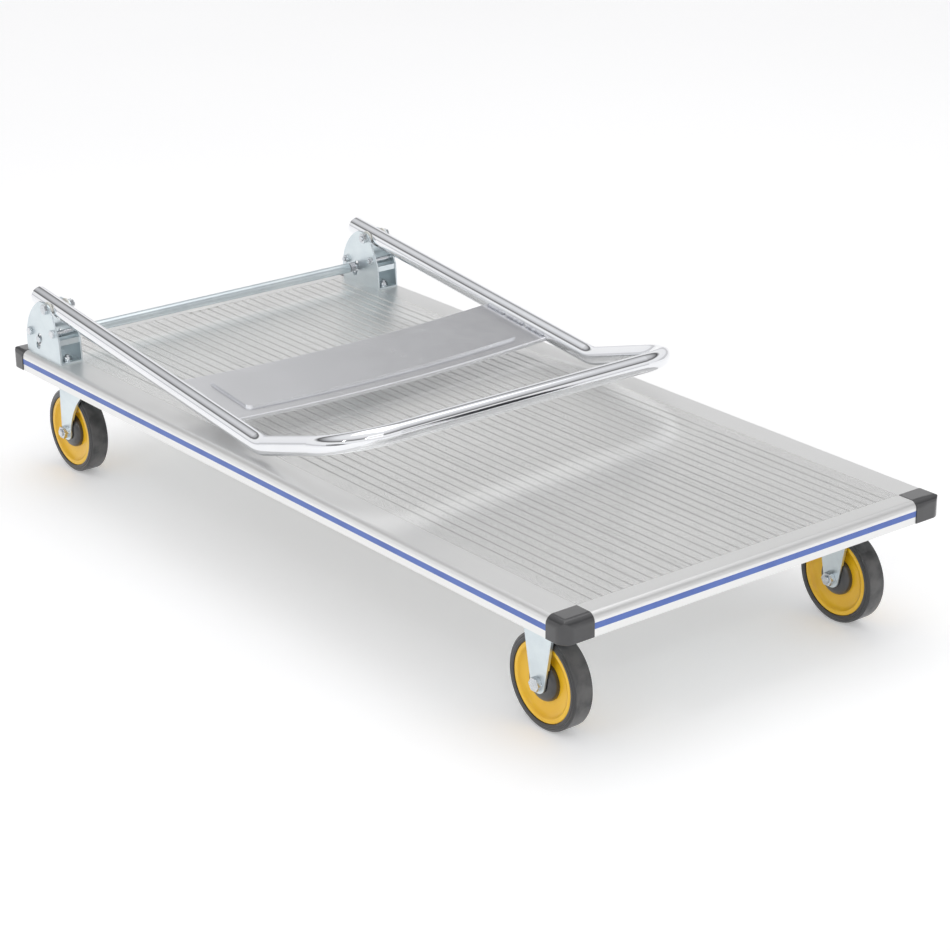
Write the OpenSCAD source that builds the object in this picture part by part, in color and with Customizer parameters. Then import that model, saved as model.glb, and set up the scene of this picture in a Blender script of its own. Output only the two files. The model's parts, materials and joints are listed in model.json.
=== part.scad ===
// Folding platform cart: aluminium deck, fold-down tubular handle, foot-operated
// release bar, two fixed casters in front and two swivel casters at the handle end.
// +X points away from the handle end, +Y to the left, +Z up. The origin is on the
// floor, under the middle of the deck. Sizes are in millimetres.

/* [Platform] */
// Length of the deck over its end rails
deck_length = 1510; // [1300:10:1800]
// Width of the deck over its side rails
deck_width = 750; // [640:10:900]
// Height of the rails, and thickness of the deck
rail_height = 35; // [33:1:42]
// Width of a side rail, seen from above
side_rail_width = 55; // [55:1:66]
// Width of an end rail, seen from above
end_rail_width = 38; // [34:1:46]
// Wall of the rail extrusions
rail_wall = 2.5; // [2:0.1:3.5]
// Radius of the rails' upper outer edge
rail_edge_radius = 12; // [8:1:14]
// How far the rails' ledges reach in under the planks
ledge_depth = 20; // [16:1:24]
// Height of the coloured strip on the rails
strip_height = 9.5; // [7:0.5:12]
// Height of the strip's lower edge above the underside of the rails
strip_rise = 11.5; // [8:0.5:12]
// Thickness of the strip, and depth of its groove
strip_thick = 1.2; // [0.8:0.1:1.8]
// How far a corner cap stands proud of the rails
cap_proud = 1.5; // [0.5:0.5:3]
// Radius of a corner cap's upright edge
cap_radius = 20; // [14:1:24]
// Wall of a corner cap
cap_wall = 3; // [2:0.5:4]
// Length of the plugs that hold a corner cap in the rails
cap_plug = 14; // [10:1:20]

/* [Planks] */
// Distance from one rib to the next
rib_pitch = 18.8; // [15:0.1:22]
// Ribs on the middle plank
middle_ribs = 12; // [8:2:14]
// Width of a groove between two ribs, at its mouth
groove_width = 5.5; // [3:0.5:8]
// Depth of a groove
groove_depth = 1; // [0.5:0.1:1.2]
// Thickness of a plank's top skin
plank_skin = 3.2; // [2.6:0.1:4]
// Thickness of the webs under the skin
plank_web = 2; // [1.6:0.1:3]
// Width of the foot under each web
foot_width = 14; // [12:1:16]

/* [Handle] */
// Diameter of the handle tube
tube_d = 32; // [28:1:34]
// Wall of the handle tube
tube_wall = 1.5; // [1.2:0.1:2]
// Distance of each leg in from the side of the deck
leg_inset = 34; // [32:1:60]
// Distance from the rear end of the deck to the hinge
pivot_inset = 110; // [105:1:130]
// Height of the hinge above the deck
pivot_rise = 93; // [86:1:100]
// How far the tail of each leg reaches past the hinge
tail_length = 60; // [50:1:62]
// Length of a leg from the hinge to its bend
leg_length = 631; // [500:1:700]
// Slope of the folded legs
leg_slope = 6.5; // [6:0.1:7.5]
// Slope of the grip end, above the horizontal
grip_slope = 16.6; // [12:0.1:22]
// Distance from the bend to the middle of the cross grip
grip_reach = 239; // [200:1:280]
// Radius of the bend in a leg, to the middle of the tube
bend_radius = 70; // [50:1:90]
// Radius of the corners of the grip, to the middle of the tube
corner_radius = 90; // [70:1:120]
// Angle through which the handle lifts from folded to upright
fold_angle = 96.5; // [90:0.5:100]

/* [Panel] */
// Distance from the hinge to the panel, along the legs
panel_start = 356; // [300:1:400]
// Length of the panel along the legs
panel_length = 171; // [120:1:200]
// Thickness of the panel's sheet
panel_sheet = 1.5; // [1:0.1:2]
// How far the middle of the panel bows towards the deck
panel_bow = 10; // [4:0.5:14]
// Depth of the flanges along the panel's two free edges
panel_flange = 6.5; // [4:0.5:8]
// Height of the raised field
field_rise = 4; // [2:0.5:5]
// Length of the raised field along the legs
field_length = 116; // [80:1:130]
// Width of the raised field across the cart
field_width = 562; // [400:2:580]
// Corner radius of the raised field
field_radius = 9; // [5:1:15]

/* [Brackets] */
// Width of a bracket over its two walls
bracket_width = 44; // [43:0.5:48]
// Thickness of the bracket's steel sheet
bracket_sheet = 3; // [2.5:0.1:3.2]
// Diameter of the hinge bolts
pivot_d = 10; // [8:0.5:12]
// Diameter of the stop bolts and the spring anchors
stop_d = 8; // [6:0.5:8]
// Diameter of the bolts that hold a bracket to its rail
bracket_bolt_d = 8; // [6:0.5:8]

/* [Release bar] */
// Diameter of the foot bar
bar_d = 18.2; // [16:0.2:20]
// Wall of the foot bar
bar_wall = 1.6; // [1.2:0.1:2]
// Diameter of the pins at its ends
pin_d = 12; // [10:0.5:13]
// Distance of the pins behind the hinge, as they rest
pin_back = 30; // [28:0.5:34]
// Distance of the pins below the hinge, as they rest
pin_drop = 62; // [61:0.5:66]
// Lean of the slots from upright
slot_lean = 21; // [15:1:26]
// How far the bar can rise from where it rests
bar_rise = 4.5; // [2:0.5:5]
// How far a foot can press the bar down
bar_drop = 14; // [8:0.5:14]
// Play of a pin in its slot
pin_play = 0.5; // [0.3:0.1:1]

/* [Casters] */
// Diameter of a wheel
wheel_d = 150; // [130:1:160]
// Width of a tyre
tyre_width = 36; // [30:1:38]
// Thickness of a tyre's rubber
tyre_thick = 12; // [9:0.5:14]
// Height of a caster from the floor to the deck
caster_height = 192; // [190:1:205]
// Distance of the casters in from the sides of the deck
caster_inset = 80; // [72:1:100]
// Distance of the front axles from the front end
front_axle_inset = 122; // [120:1:200]
// Distance of the swivel pivots from the handle end
swivel_inset = 115; // [112:1:200]
// How far a swivelling wheel trails its pivot
trail = 38; // [30:1:44]
// Thickness of the caster plates
caster_plate = 4; // [3:0.5:5]
// Length of a caster plate
plate_length = 112; // [104:1:120]
// Width of a caster plate
plate_width = 98; // [92:1:100]
// Distance between a plate's bolts, along the cart
bolt_spacing_x = 80; // [74:1:86]
// Distance between a plate's bolts, across the cart
bolt_spacing_y = 78; // [76:1:80]
// Diameter of the bolts that hold a caster
caster_bolt_d = 10; // [8:0.5:10]
// Thickness of the steel of the forks
fork_sheet = 3; // [2.5:0.1:4]
// Space between a tyre and each leg of its fork
fork_gap = 4; // [3.5:0.5:6]
// Radius of the foot of a fork leg
fork_foot_radius = 15.5; // [14:0.5:17]
// Half width of a rigid fork leg at its plate
fork_top_half = 37; // [32:1:44]
// Depth of the lip along the edges of a fork leg
fork_lip = 2; // [1:0.5:2.5]
// Diameter of the axle bolts
axle_d = 12; // [10:0.5:12]
// Outer diameter of the sleeve on an axle
sleeve_d = 16; // [15:0.5:18]
// Outer diameter of a wheel bearing
bearing_d = 32; // [28:1:35]
// Width of a wheel bearing
bearing_width = 10; // [8:0.5:11]
// Diameter of a hub cover
cover_d = 61; // [50:1:66]
// Radius of a swivel head
swivel_radius = 44; // [38:1:46]
// Diameter of the swivel balls
ball_d = 7; // [6:0.5:8]
// Radius of the circle that the balls run on
ball_track = 26; // [22:1:30]
// Number of balls in a swivel
ball_count = 12; // [8:1:16]

/* [Clearances] */
// Gap between two pieces that are assembled side by side
fit_gap = 0.2; // [0.1:0.05:0.4]
// Radial gap of a bearing or a bush on its shaft
run_gap = 0.05; // [0.02:0.01:0.1]
// Radial gap of a bolt in its hole
hole_gap = 0.15; // [0.1:0.05:0.4]

/* [Hidden] */
$fn = 64;

// The angle within 0.2 degrees whose sine and cosine are closest to six decimals, so
// that a frame turned by it meets the end of a bend through it without any step.
function past_six(x) = abs(x - round(x * 1e6) / 1e6);
function turn_error(a) = max(past_six(sin(a)), past_six(cos(a)));
function clean_angle(angle) =
    let (tries = [for (k = [-2000:2000]) angle + k / 10000])
    let (errors = [for (a = tries) turn_error(a)])
    [for (i = [0:len(tries) - 1]) if (errors[i] == min(errors)) tries[i]][0];

LEFT = 1;
RIGHT = -1;
FRONT = 1;
REAR = -1;
cut = 1;                                   // how far a cutting tool runs past a face

// Deck
deck_z = caster_height + rail_height;      // height of the top of the deck
side_x = deck_length / 2 - end_rail_width; // half length of a side rail
end_y = deck_width / 2 - side_rail_width;  // half length of an end rail, half width of the planks
plank_height = rail_height - rail_wall;
middle_half = middle_ribs * rib_pitch / 2; // from the middle to the joints between the planks
outer_width = end_y - middle_half;
seam_gap = 0.25;                           // half the gap between two planks
seat_width = ledge_depth - 2;              // foot at a plank's outer edge, on the ledge
groove_floor = groove_width - 1;

// Bolts and nuts: half the width across corners, height, and length of the free thread
function hex_radius(bolt_d) = bolt_d * 0.95;
function head_height(bolt_d) = bolt_d * 0.64;
function nut_height(bolt_d) = bolt_d * 0.82;
thread_end = 3;

// Casters
axle_z = wheel_d / 2;
caster_y = deck_width / 2 - caster_inset;
front_x = deck_length / 2 - front_axle_inset;
swivel_x = -deck_length / 2 + swivel_inset;
plate_z = caster_height - caster_plate;    // underside of a caster plate
fork_inner = tyre_width / 2 + fork_gap;    // from the middle of a wheel to the inside of a leg
fork_outer = fork_inner + fork_sheet;
race_height = 8;                           // upper race ring, under the swivel plate
race_space = 5;                            // space between the two races
yoke_top = plate_z - race_height - race_space;
yoke_thick = 5;
fork_curve = 130;                          // radius of the curved front edge of a swivel fork leg
fork_nose = 40;                            // how far the top of that leg reaches ahead of the pivot
bolt_inner_y = caster_y - bolt_spacing_y / 2;
nut_space = 20;                            // from a caster's inner bolts to the webs beside them

// Handle and brackets
pivot_x = -deck_length / 2 + pivot_inset;
pivot_z = deck_z + pivot_rise;
bracket_inner = bracket_width / 2 - bracket_sheet;
leg_y = deck_width / 2 - leg_inset;        // distance of each leg from the middle of the cart
pin_x = pivot_x - pin_back;
pin_z = pivot_z - pin_drop;
anchor_back = 58;                          // spring anchor, behind and below the hinge
anchor_drop = 53.5;
stop_drop = 40;                            // upright stop, below the hinge
stop_x = pivot_x + (tube_d + stop_d) / 2 + 0.4;
bracket_front_bolt = 25;                   // the two base bolts, from the hinge
bracket_rear_bolt = 57;
bar_half = leg_y - bracket_width / 2 - 19; // half length of the foot bar
leg_to_grip = clean_angle(leg_slope + grip_slope);
bend_tangent = round(1000 * bend_radius * tan(leg_to_grip / 2)) / 1000;
panel_half = leg_y - tube_d / 2 - fit_gap; // half width of the panel
panel_drop = 1.5;                          // the panel's edges lie this far below the tube's middle
bow_radius = (panel_half * panel_half + panel_bow * panel_bow) / (2 * panel_bow);
bow_fn = 1440;                             // fine enough for an arc of that radius
field_start = panel_start + 29;

// ---------------------------------------------------------------- helpers

// Turns a shape made for the left side (+Y) into the one for side s.
module on_side(s) mirror([0, s == RIGHT ? 1 : 0, 0]) children();

// Turns a shape made for the front end (+X) into the one for end e.
module on_end(e) mirror([e == REAR ? 1 : 0, 0, 0]) children();

// A cylinder along Y, centred on y = 0.
module rod_y(d, length) rotate([90, 0, 0]) cylinder(d = d, h = length, center = true);

// A hexagon head, or a nut when bore is not 0, that stands on z = 0.
module hex(bolt_d, height, bore = 0) {
    difference() {
        cylinder(r = hex_radius(bolt_d), h = height, $fn = 6);
        if (bore > 0) translate([0, 0, -cut]) cylinder(d = bore, h = height + 2 * cut);
    }
}

// A bolt that points up from z = 0, with its head below, and grip mm of shank.
module bolt(bolt_d, grip) {
    head = head_height(bolt_d);
    translate([0, 0, -head]) {
        cylinder(d = bolt_d, h = head + grip);
        hex(bolt_d, head);
    }
}

// ---------------------------------------------------------------- deck

// Section of a rail: x runs outwards, y up. The upper outer corner is round.
module rail_outline(width, height, radius) {
    square([width - radius, height]);
    square([width, height - radius]);
    translate([width - radius, height - radius]) circle(radius);
}

module rail_section(width) {
    difference() {
        rail_outline(width, rail_height, rail_edge_radius);
        translate([rail_wall, rail_wall])
            rail_outline(width - 2 * rail_wall, rail_height - 2 * rail_wall, rail_edge_radius - rail_wall);
        translate([width - strip_thick, strip_rise]) square([strip_thick + cut, strip_height]);
    }
}

// Places where frame screws come up through the ledges and cross plates.
web_x = [-500, -170, 170, 500];
function middle_webs() = [for (i = [1:3]) -middle_half + i * middle_half / 2];
screw_offset = 4;                          // a screw stands beside its web, in the foot
module at_frame_screws() {
    for (s = [LEFT, RIGHT], x = web_x)
        translate([x * deck_length / 1510, s * (end_y - ledge_depth / 2), caster_height]) children();
    for (e = [FRONT, REAR], y = middle_webs())
        translate([e * (side_x - ledge_depth / 2), y + screw_offset, caster_height]) children();
    for (x = [front_x, swivel_x], y = middle_webs(), dx = [-1, 1])
        translate([x + dx * (plate_length / 2 - 12), y + screw_offset, caster_height]) children();
}
frame_screw_d = 4;
module frame_screw_holes() at_frame_screws() translate([0, 0, -cut])
    cylinder(d = frame_screw_d + 2 * hole_gap, h = 2 * rail_wall + 2 * cut);

// The four bolts of each caster plate, at the underside of the deck.
module at_caster_bolts() {
    for (x = [front_x, swivel_x], s = [LEFT, RIGHT], dx = [-1, 1], dy = [-1, 1])
        translate([x + dx * bolt_spacing_x / 2, s * (caster_y + dy * bolt_spacing_y / 2), caster_height])
            children();
}
module caster_bolt_holes(below, above) at_caster_bolts() translate([0, 0, -below])
    cylinder(d = caster_bolt_d + 2 * hole_gap, h = below + above);

// The two bolts in the base of each bracket, at the top of the deck.
module at_bracket_bolts() {
    for (s = [LEFT, RIGHT], dx = [bracket_front_bolt, -bracket_rear_bolt])
        translate([pivot_x + dx, s * leg_y, deck_z]) children();
}

module side_rail(s) {
    color("gainsboro") difference() {
        on_side(s) translate([-side_x, end_y, caster_height]) {
            rotate([90, 0, 90]) linear_extrude(2 * side_x) rail_section(side_rail_width);
            translate([0, -ledge_depth, 0]) cube([2 * side_x, ledge_depth + rail_wall, rail_wall]);
        }
        frame_screw_holes();
        caster_bolt_holes(cut, rail_wall + cut);
        at_bracket_bolts() translate([0, 0, -rail_wall - cut])
            cylinder(d = bracket_bolt_d + 2 * hole_gap, h = rail_wall + 2 * cut);
    }
}
module side_rail_left() side_rail(LEFT);
module side_rail_right() side_rail(RIGHT);

module end_rail(e) {
    ledge_half = end_y - ledge_depth - fit_gap;
    color("gainsboro") difference() {
        on_end(e) translate([side_x, 0, caster_height]) {
            translate([0, end_y, 0]) rotate([90, 0, 0]) linear_extrude(2 * end_y) rail_section(end_rail_width);
            translate([-ledge_depth, -ledge_half, 0])
                cube([ledge_depth + rail_wall, 2 * ledge_half, rail_wall]);
        }
        frame_screw_holes();
    }
}
module end_rail_front() end_rail(FRONT);
module end_rail_rear() end_rail(REAR);

module side_strips() {
    color("royalblue") for (s = [LEFT, RIGHT])
        on_side(s) translate([-side_x, deck_width / 2 - strip_thick, caster_height + strip_rise])
            cube([2 * side_x, strip_thick, strip_height]);
}
module end_strips() {
    color("royalblue") for (e = [FRONT, REAR])
        on_end(e) translate([deck_length / 2 - strip_thick, -end_y, caster_height + strip_rise])
            cube([strip_thick, 2 * end_y, strip_height]);
}

// Body of a corner cap, grown by `grow` on its outer faces. It fills the corner
// between the ends of the rails, and keeps their round upper edge.
module cap_body(grow) {
    length = end_rail_width + grow - fit_gap;
    width = side_rail_width + grow - fit_gap;
    top = rail_height + min(grow, 0.6);
    radius = rail_edge_radius + grow;
    intersection() {
        rotate([90, 0, 0]) translate([0, 0, -width]) linear_extrude(width)
            rail_outline(length, top, radius);
        rotate([90, 0, 90]) linear_extrude(length) rail_outline(width, top, radius);
        linear_extrude(top) {
            square([length - cap_radius, width]);
            square([length, width - cap_radius]);
            translate([length - cap_radius, width - cap_radius]) circle(cap_radius);
        }
    }
}

module corner_cap(e, s) {
    color("dimgray") on_end(e) on_side(s) translate([side_x, end_y, caster_height]) {
        difference() {
            translate([fit_gap, fit_gap, 0]) cap_body(cap_proud);
            translate([cap_wall, cap_wall, -cut]) intersection() {
                cap_body(cap_proud - cap_wall - cap_wall);
                cube([deck_length, deck_width, rail_height - cap_wall]);
            }
        }
        plug_height = rail_height - 2 * rail_wall - 2 * fit_gap - 6;
        translate([fit_gap - cap_plug, rail_wall + fit_gap, rail_wall + fit_gap])
            cube([cap_plug + cap_wall - fit_gap, side_rail_width - rail_edge_radius - rail_wall, plug_height]);
        translate([rail_wall + fit_gap, fit_gap - cap_plug, rail_wall + fit_gap])
            cube([end_rail_width - rail_edge_radius - rail_wall, cap_plug + cap_wall - fit_gap, plug_height]);
    }
}
module corner_cap_front_left() corner_cap(FRONT, LEFT);
module corner_cap_front_right() corner_cap(FRONT, RIGHT);
module corner_cap_rear_left() corner_cap(REAR, LEFT);
module corner_cap_rear_right() corner_cap(REAR, RIGHT);

// Section of a plank: x runs across the cart from its first edge, y up.
// webs are the middles of its inner webs; edge_feet are the foot widths at its edges.
module plank_section(width, ribs, webs, edge_feet) {
    difference() {
        union() {
            translate([0, plank_height - plank_skin]) square([width, plank_skin]);
            square([plank_web, plank_height]);
            square([edge_feet[0], rail_wall]);
            translate([width - plank_web, 0]) square([plank_web, plank_height]);
            translate([width - edge_feet[1], 0]) square([edge_feet[1], rail_wall]);
            for (w = webs) {
                translate([w - plank_web / 2, 0]) square([plank_web, plank_height]);
                translate([w - foot_width / 2, 0]) square([foot_width, rail_wall]);
            }
        }
        for (i = [0:ribs - 1]) translate([(i + 0.5) * rib_pitch, plank_height])
            polygon([[-groove_width / 2, cut], [-groove_width / 2, 0], [-groove_floor / 2, -groove_depth],
                     [groove_floor / 2, -groove_depth], [groove_width / 2, 0], [groove_width / 2, cut]]);
    }
}

module laid_plank(start) {
    translate([-side_x + fit_gap, start, caster_height + rail_wall])
        rotate([90, 0, 90]) linear_extrude(2 * (side_x - fit_gap)) children();
}

module outer_plank(s) {
    width = outer_width - seam_gap - fit_gap;
    ribs = floor((width - groove_width / 2) / rib_pitch);
    near_bolts = bolt_inner_y - middle_half;
    webs = [(near_bolts - nut_space) / 2, near_bolts - nut_space, near_bolts + nut_space];
    color("whitesmoke") difference() {
        on_side(s) laid_plank(middle_half + seam_gap)
            plank_section(width, ribs, webs, [foot_width / 2, seat_width]);
        frame_screw_holes();
    }
}
module deck_plank_left() outer_plank(LEFT);
module deck_plank_right() outer_plank(RIGHT);

module deck_plank_middle() {
    width = 2 * (middle_half - seam_gap);
    webs = [for (y = middle_webs()) y + middle_half - seam_gap];
    color("whitesmoke") difference() {
        laid_plank(-middle_half + seam_gap)
            plank_section(width, middle_ribs, webs, [foot_width / 2, foot_width / 2]);
        frame_screw_holes();
    }
}

// Flat plate across the deck between the ledges, above one pair of casters.
module cross_plate(x) {
    half = end_y - ledge_depth - fit_gap;
    color("silver") difference() {
        translate([x - plate_length / 2, -half, caster_height]) cube([plate_length, 2 * half, rail_wall]);
        caster_bolt_holes(cut, rail_wall + cut);
        frame_screw_holes();
    }
}
module cross_plate_front() cross_plate(front_x);
module cross_plate_rear() cross_plate(swivel_x);

module frame_screws() {
    head = 2.4;
    color("silver") at_frame_screws() translate([0, 0, -head]) {
        cylinder(d = frame_screw_d, h = head + 2 * rail_wall + thread_end);
        cylinder(d = 2 * frame_screw_d, h = head);
    }
}

// ---------------------------------------------------------------- caster fasteners

module caster_bolts() {
    color("silver") at_caster_bolts() translate([0, 0, -caster_plate])
        bolt(caster_bolt_d, caster_plate + rail_wall + nut_height(caster_bolt_d) + thread_end);
}
module caster_nuts() {
    color("silver") at_caster_bolts() translate([0, 0, rail_wall])
        hex(caster_bolt_d, nut_height(caster_bolt_d), caster_bolt_d + hole_gap);
}

// ---------------------------------------------------------------- hinge brackets

// Side view of a bracket wall about the hinge: x forward, y up. The base lies at
// -pivot_rise; the back is one arc, the front is upright, then leans back.
bracket_back = 89;                         // radius of the back
module bracket_outline() {
    intersection() {
        translate([15, -72]) circle(bracket_back, $fn = 128);
        polygon([[-80, -pivot_rise], [40, -pivot_rise], [37, -49], [11, 4.5], [5, 8.5], [-80, 8.5]]);
    }
}

module slot_outline(d) {
    rotate(-slot_lean) {
        translate([0, bar_rise]) circle(d = d);
        translate([0, -bar_drop]) circle(d = d);
        translate([-d / 2, -bar_drop]) square([d, bar_drop + bar_rise]);
    }
}

module bracket_wall() {
    linear_extrude(bracket_sheet) difference() {
        bracket_outline();
        circle(d = pivot_d + 2 * hole_gap);
        translate([-anchor_back, -anchor_drop]) circle(d = stop_d + 2 * hole_gap);
        translate([stop_x - pivot_x, -stop_drop]) circle(d = stop_d + 2 * hole_gap);
        translate([-pin_back, -pin_drop]) slot_outline(pin_d + 2 * pin_play);
    }
}

module hinge_bracket(s) {
    base_front = 40;
    base_back = 71;
    bridge_back = tube_d / 2 + 2;
    bridge_front = 36;
    bridge_low = pivot_rise - 44;          // top of the bridge, below the hinge
    color("lightsteelblue") on_side(s) translate([pivot_x, leg_y, pivot_z]) {
        for (y = [-bracket_width / 2 + bracket_sheet, bracket_width / 2])
            translate([0, y, 0]) rotate([90, 0, 0]) bracket_wall();
        difference() {
            translate([-base_back, -bracket_width / 2, -pivot_rise])
                cube([base_back + base_front, bracket_width, bracket_sheet]);
            for (dx = [bracket_front_bolt, -bracket_rear_bolt]) translate([dx, 0, -pivot_rise - cut])
                cylinder(d = bracket_bolt_d + 2 * hole_gap, h = bracket_sheet + 2 * cut);
        }
        translate([bridge_back, -bracket_width / 2, -bridge_low - bracket_sheet])
            cube([bridge_front - bridge_back, bracket_width, bracket_sheet]);
        translate([bridge_front - bracket_sheet, -bracket_width / 2, -bridge_low - 10])
            cube([bracket_sheet, bracket_width, 10]);
    }
}
module hinge_bracket_left() hinge_bracket(LEFT);
module hinge_bracket_right() hinge_bracket(RIGHT);

// Bolts with low round heads in the rail's cavity, so that the nuts show on the base.
module bracket_bolts() {
    head = 3.5;
    grip = rail_wall + bracket_sheet + nut_height(bracket_bolt_d) + thread_end;
    color("silver") at_bracket_bolts() translate([0, 0, -rail_wall - head]) {
        cylinder(d = bracket_bolt_d, h = head + grip);
        cylinder(d = 2 * bracket_bolt_d, h = head);
    }
}
module bracket_nuts() {
    washer = 1.5;
    color("silver") at_bracket_bolts() translate([0, 0, bracket_sheet]) difference() {
        union() {
            cylinder(r = hex_radius(bracket_bolt_d) + 1, h = washer);
            hex(bracket_bolt_d, nut_height(bracket_bolt_d));
        }
        translate([0, 0, -cut]) cylinder(d = bracket_bolt_d + hole_gap, h = 20);
    }
}

// A bolt through both walls of a bracket, head outside, along -Y on the left side.
module wall_bolt(bolt_d) {
    translate([0, bracket_width / 2, 0]) rotate([90, 0, 0])
        bolt(bolt_d, bracket_width + nut_height(bolt_d) + thread_end);
}
module wall_nut(bolt_d) {
    translate([0, -bracket_width / 2, 0]) rotate([90, 0, 0])
        hex(bolt_d, nut_height(bolt_d), bolt_d + hole_gap);
}
module pivot_bolts() {
    color("silver") for (s = [LEFT, RIGHT]) on_side(s) translate([pivot_x, leg_y, pivot_z]) wall_bolt(pivot_d);
}
module pivot_nuts() {
    color("silver") for (s = [LEFT, RIGHT]) on_side(s) translate([pivot_x, leg_y, pivot_z]) wall_nut(pivot_d);
}
// The spring anchor behind and the upright stop in front of each tail, with their nuts.
module stop_bolts() {
    color("silver") for (s = [LEFT, RIGHT]) on_side(s) {
        for (place = [[pivot_x - anchor_back, pivot_z - anchor_drop], [stop_x, pivot_z - stop_drop]])
            translate([place[0], leg_y, place[1]]) {
                wall_bolt(stop_d);
                wall_nut(stop_d);
            }
    }
}

// ---------------------------------------------------------------- handle

// Straight rod from the origin along +X.
module straight_rod(length, d) rotate([0, 90, 0]) cylinder(d = d, h = length);

// Bent rod that starts at the origin along +X and turns towards +Y.
module bent_rod(radius, angle, d) {
    translate([0, radius, 0]) rotate([0, 0, -90])
        rotate_extrude(angle = angle, $fn = 128) translate([radius, 0]) circle(d = d);
}

// Frame of the folded legs: origin on the hinge line in the middle of the cart,
// +X down along the legs.
module in_leg_frame() translate([pivot_x, 0, pivot_z]) rotate([0, leg_slope, 0]) children();

// Frame of the grip end: origin where the bend's two straight lines meet, +X towards
// the grip. It is turned about the middle of the bend.
module in_grip_frame() {
    in_leg_frame() translate([leg_length - bend_tangent, 0, bend_radius]) rotate([0, -leg_to_grip, 0])
        translate([-bend_tangent, 0, -bend_radius]) children();
}

// A rod of diameter d that follows the whole handle, from one tail to the other. Each
// side is drawn in its own leg's plane, and the two meet in the middle of the cross grip.
// The tube is one such rod less a thinner one, its bore.
module handle_path(d) {
    past_middle = 1;
    grip_start = grip_reach - corner_radius;
    for (s = [LEFT, RIGHT]) translate([0, s * leg_y, 0]) {
        in_leg_frame() translate([-tail_length, 0, 0])
            straight_rod(tail_length + leg_length - bend_tangent, d);
        in_leg_frame() translate([leg_length - bend_tangent, 0, 0])
            rotate([90, 0, 0]) bent_rod(bend_radius, leg_to_grip, d);
        in_grip_frame() {
            translate([bend_tangent, 0, 0]) straight_rod(grip_start - bend_tangent, d);
            if (s == RIGHT) translate([grip_start, 0, 0]) bent_rod(corner_radius, 90, d);
            if (s == LEFT) translate([grip_reach, -corner_radius, 0]) rotate([0, 0, 90])
                bent_rod(corner_radius, 90, d);
            translate([grip_reach, -s * corner_radius, 0]) rotate([0, 0, -s * 90])
                straight_rod(leg_y - corner_radius + past_middle, d);
        }
    }
}
module handle_tube() {
    color("silver") difference() {
        handle_path(tube_d);
        handle_path(tube_d - 2 * tube_wall);
        for (s = [LEFT, RIGHT]) in_leg_frame() translate([0, s * leg_y, 0]) rod_y(pivot_d + 4, 2 * tube_d);
    }
}

// Section across the bowed panel: the part between two arcs, top mm above the
// sheet's lowest line and thick mm downwards from there.
module bow_section(top, thick) {
    centre = bow_radius - panel_drop - panel_bow;
    intersection() {
        difference() {
            translate([0, centre]) circle(bow_radius - top + thick, $fn = bow_fn);
            translate([0, centre]) circle(bow_radius - top, $fn = bow_fn);
        }
        translate([-panel_half, -2 * panel_bow - panel_flange]) square([2 * panel_half, 4 * panel_bow]);
    }
}
module bowed_strip(start, length, top, thick) {
    translate([start, 0, 0]) rotate([90, 0, 90]) linear_extrude(length) bow_section(top, thick);
}
// Upright prism over the raised field, smaller by inset all round.
module field_prism(inset) {
    length = field_length - 2 * inset;
    half = field_width / 2 - inset;
    radius = field_radius - inset;
    translate([field_start + inset, 0, -40]) linear_extrude(80) {
        translate([radius, -half]) square([length - 2 * radius, 2 * half]);
        translate([0, -half + radius]) square([length, 2 * (half - radius)]);
        for (x = [radius, length - radius], y = [-half + radius, half - radius])
            translate([x, y]) circle(radius);
    }
}
module handle_panel() {
    color("silver") in_leg_frame() difference() {
        union() {
            bowed_strip(panel_start, panel_length, 0, panel_sheet);
            bowed_strip(panel_start, panel_sheet, 0, panel_flange);
            bowed_strip(panel_start + panel_length - panel_sheet, panel_sheet, 0, panel_flange);
            intersection() {
                bowed_strip(panel_start, panel_length, field_rise, field_rise + panel_sheet);
                field_prism(0);
            }
        }
        intersection() {
            bowed_strip(panel_start, panel_length, field_rise - panel_sheet, field_rise + panel_sheet);
            field_prism(panel_sheet);
        }
    }
}

// Nylon bushes in the cross holes of the legs, each with a flange that fills the bracket.
module pivot_bushes() {
    flange = bracket_inner - tube_d / 2 - fit_gap;
    color("ivory") for (s = [LEFT, RIGHT], side = [1, -1])
        translate([pivot_x, s * leg_y, pivot_z]) rotate([side * 90, 0, 0]) difference() {
            union() {
                translate([0, 0, tube_d / 2]) cylinder(d = pivot_d + 14, h = flange);
                translate([0, 0, 3]) cylinder(d = pivot_d + 4, h = tube_d / 2);
            }
            translate([0, 0, -cut]) cylinder(d = pivot_d + 2 * run_gap, h = tube_d);
        }
}

// ---------------------------------------------------------------- release bar

bar_bore = bar_d - 2 * bar_wall;
module release_bar() {
    color("lightsteelblue") translate([pin_x, 0, pin_z]) difference() {
        rod_y(bar_d, 2 * bar_half);
        rod_y(bar_bore, 2 * bar_half + 2 * cut);
    }
}
module release_pins() {
    pin_plug = 30;
    pin_end = leg_y + bracket_width / 2 + 3;
    color("silver") for (s = [LEFT, RIGHT]) on_side(s) translate([pin_x, 0, pin_z]) rotate([-90, 0, 0]) {
        translate([0, 0, bar_half - pin_plug]) cylinder(d = bar_bore - 0.1, h = pin_plug);
        translate([0, 0, bar_half - pin_plug]) cylinder(d = pin_d, h = pin_end - bar_half + pin_plug);
    }
}
// Coil of each return spring, wound on the pin between the bar's end and the bracket.
spring_wire = 2.4;
spring_turns = 6;
module return_springs() {
    pitch = spring_wire * 0.92;
    radius = pin_d / 2 + spring_wire / 2 + 0.4;
    color("gray") for (s = [LEFT, RIGHT]) on_side(s) translate([pin_x, 0, pin_z]) rotate([-90, 0, 0])
        rotate_extrude() difference() {
            for (i = [0:spring_turns - 1])
                translate([radius, bar_half + 1.8 + (i + 0.5) * pitch]) circle(d = spring_wire, $fn = 24);
        }
}

// ---------------------------------------------------------------- wheels

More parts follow.
